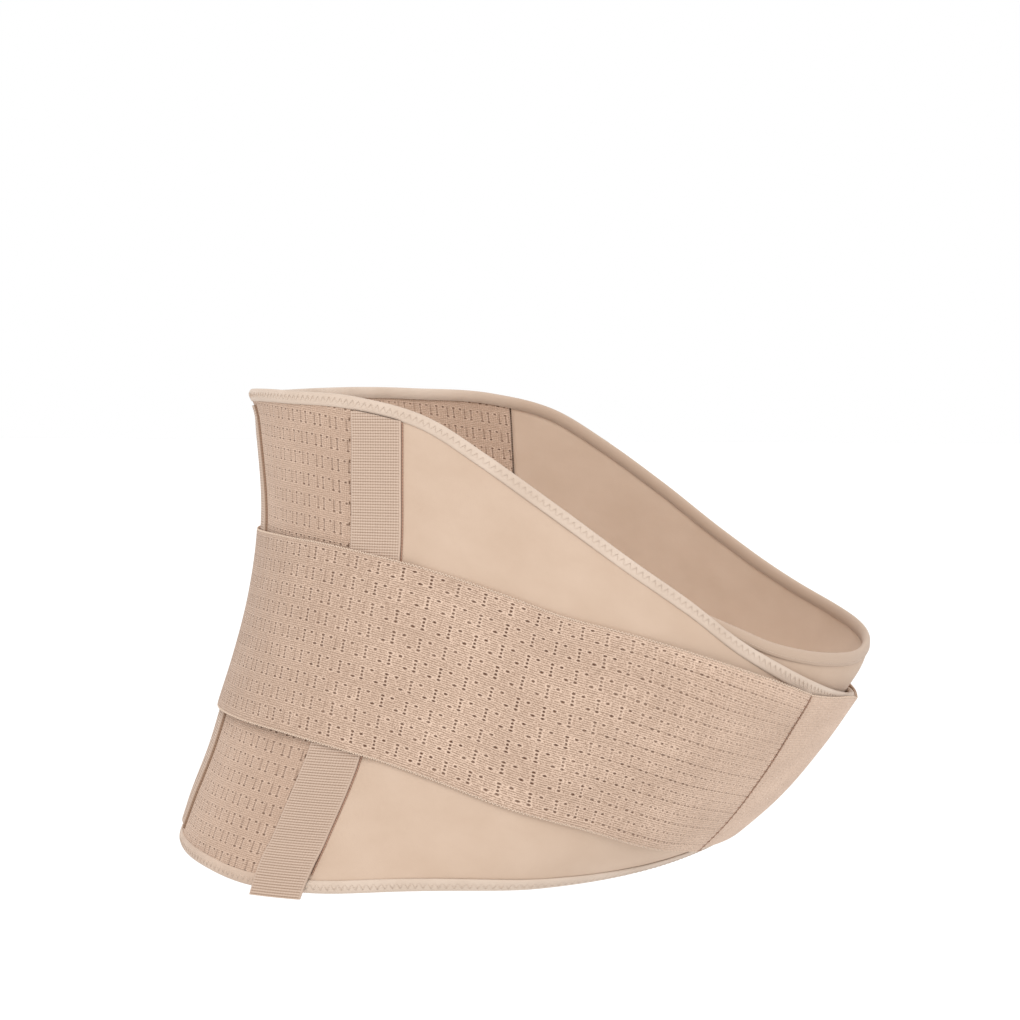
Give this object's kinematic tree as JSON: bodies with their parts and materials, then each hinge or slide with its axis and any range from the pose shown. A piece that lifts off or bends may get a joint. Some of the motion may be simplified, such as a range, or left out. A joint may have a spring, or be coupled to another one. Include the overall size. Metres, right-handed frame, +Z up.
{
  "type": "maternity support belt",
  "caption": "Maternity support belt in its worn form: perforated elastic back, soft side wings crossing under the belly, ribbed tapes and wide elastic pull straps.",
  "frame": {"origin": "middle of the torso hollow, on the left-right middle plane, level with the lowest place of the front top edge", "axes": "+X towards the belly, the way the wearer faces, +Y to the wearer's left, +Z up"},
  "size_m": [0.3624, 0.3501, 0.2487],
  "materials": {
    "elastic": "matte perforated woven elastic",
    "laminate": "matte brushed knit on foam",
    "webbing": "matte ribbed webbing",
    "binding": "soft folded knit tape",
    "hook": "matte hook tape"
  },
  "bodies": {
    "root": {"back_panel": "elastic", "side_panel_right": "laminate", "side_panel_left": "laminate", "top_binding": "binding", "bottom_binding_right": "binding", "bottom_binding_left": "binding", "back_hem": "binding", "side_tape_right": "webbing", "side_tape_left": "webbing", "spine_tape_right": "webbing", "spine_tape_left": "webbing", "front_hook_pad": "hook", "pull_strap_right": "elastic", "pull_strap_left": "elastic", "strap_hook_pad": "hook"}
  },
  "joints": []
}
